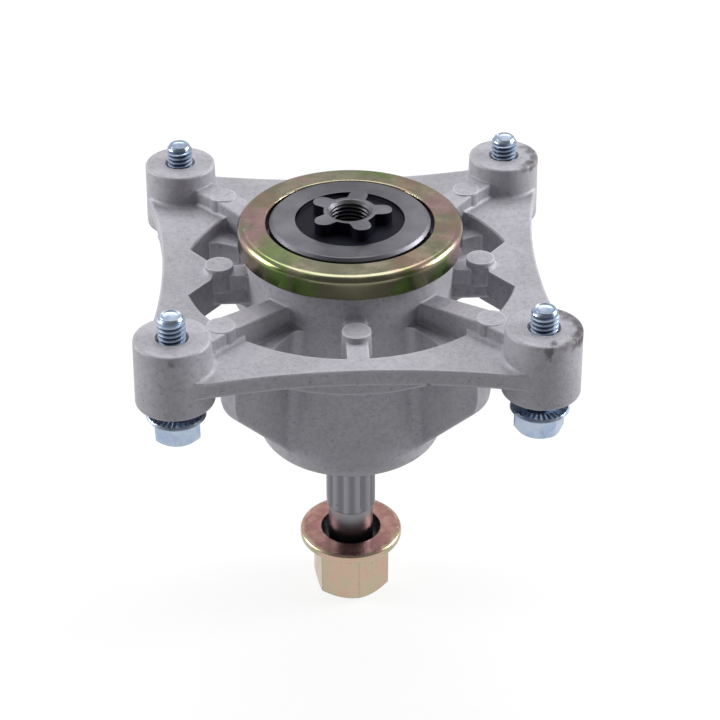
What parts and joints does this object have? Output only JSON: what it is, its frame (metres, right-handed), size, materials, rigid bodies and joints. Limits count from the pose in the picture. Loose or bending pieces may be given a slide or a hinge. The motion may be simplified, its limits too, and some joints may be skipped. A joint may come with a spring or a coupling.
{
  "type": "mower deck spindle",
  "caption": "Mower deck spindle: cast aluminium housing with a splined shaft on two sealed ball bearings, star blade drive, dust shield, flange nut and deck screws.",
  "frame": {"origin": "on the shaft axis, in the plane where the four bosses rest on the mower deck", "axes": "+Z along the shaft axis towards the blade end; X and Y are square with the four deck screws"},
  "size_m": [0.1258, 0.1258, 0.1391],
  "materials": {
    "cast_housing": "sand-textured casting, matte",
    "gold_plated_steel": "yellow chromate plating with green and pink patches",
    "ground_steel": "turned and ground, satin",
    "tube_steel": "drawn tube",
    "pink_gold_plating": "yellow chromate plating, pink and green",
    "blue_zinc": "clear zinc plating, blue tint",
    "bearing_steel": "ground and polished",
    "cage_steel": "pressed sheet",
    "seal_rubber": "matte"
  },
  "bodies": {
    "housing": {"mandrel_housing": "cast_housing", "dust_shield": "gold_plated_steel", "deck_screw_front_left": "blue_zinc", "deck_screw_front_right": "blue_zinc", "deck_screw_rear_left": "blue_zinc", "deck_screw_rear_right": "blue_zinc", "blade_bearing_outer_ring": "bearing_steel", "blade_bearing_seal_top": "seal_rubber", "blade_bearing_seal_bottom": "seal_rubber", "pulley_bearing_outer_ring": "bearing_steel", "pulley_bearing_seal_top": "seal_rubber", "pulley_bearing_seal_bottom": "seal_rubber"},
    "spindle": {"spindle_shaft": "ground_steel", "bearing_spacer": "tube_steel", "flange_nut": "pink_gold_plating", "blade_bearing_inner_ring": "bearing_steel", "pulley_bearing_inner_ring": "bearing_steel"},
    "blade_ball_set": {"blade_bearing_balls": "bearing_steel", "blade_bearing_cage": "cage_steel"},
    "pulley_ball_set": {"pulley_bearing_balls": "bearing_steel", "pulley_bearing_cage": "cage_steel"}
  },
  "joints": [
    {"name": "spindle_spin", "type": "hinge", "parent": "housing", "child": "spindle", "pos_m": [0, 0, 0], "axis": [0, 0, 1], "continuous": true},
    {"name": "blade_balls_orbit", "type": "hinge", "parent": "housing", "child": "blade_ball_set", "pos_m": [0, 0, 0.0139], "axis": [0, 0, 1], "continuous": true},
    {"name": "pulley_balls_orbit", "type": "hinge", "parent": "housing", "child": "pulley_ball_set", "pos_m": [0, 0, -0.0411], "axis": [0, 0, 1], "continuous": true}
  ],
  "couplings": [
    {"joint": "blade_balls_orbit", "follows": "spindle_spin", "ratio": 0.3815},
    {"joint": "pulley_balls_orbit", "follows": "spindle_spin", "ratio": 0.3816}
  ]
}
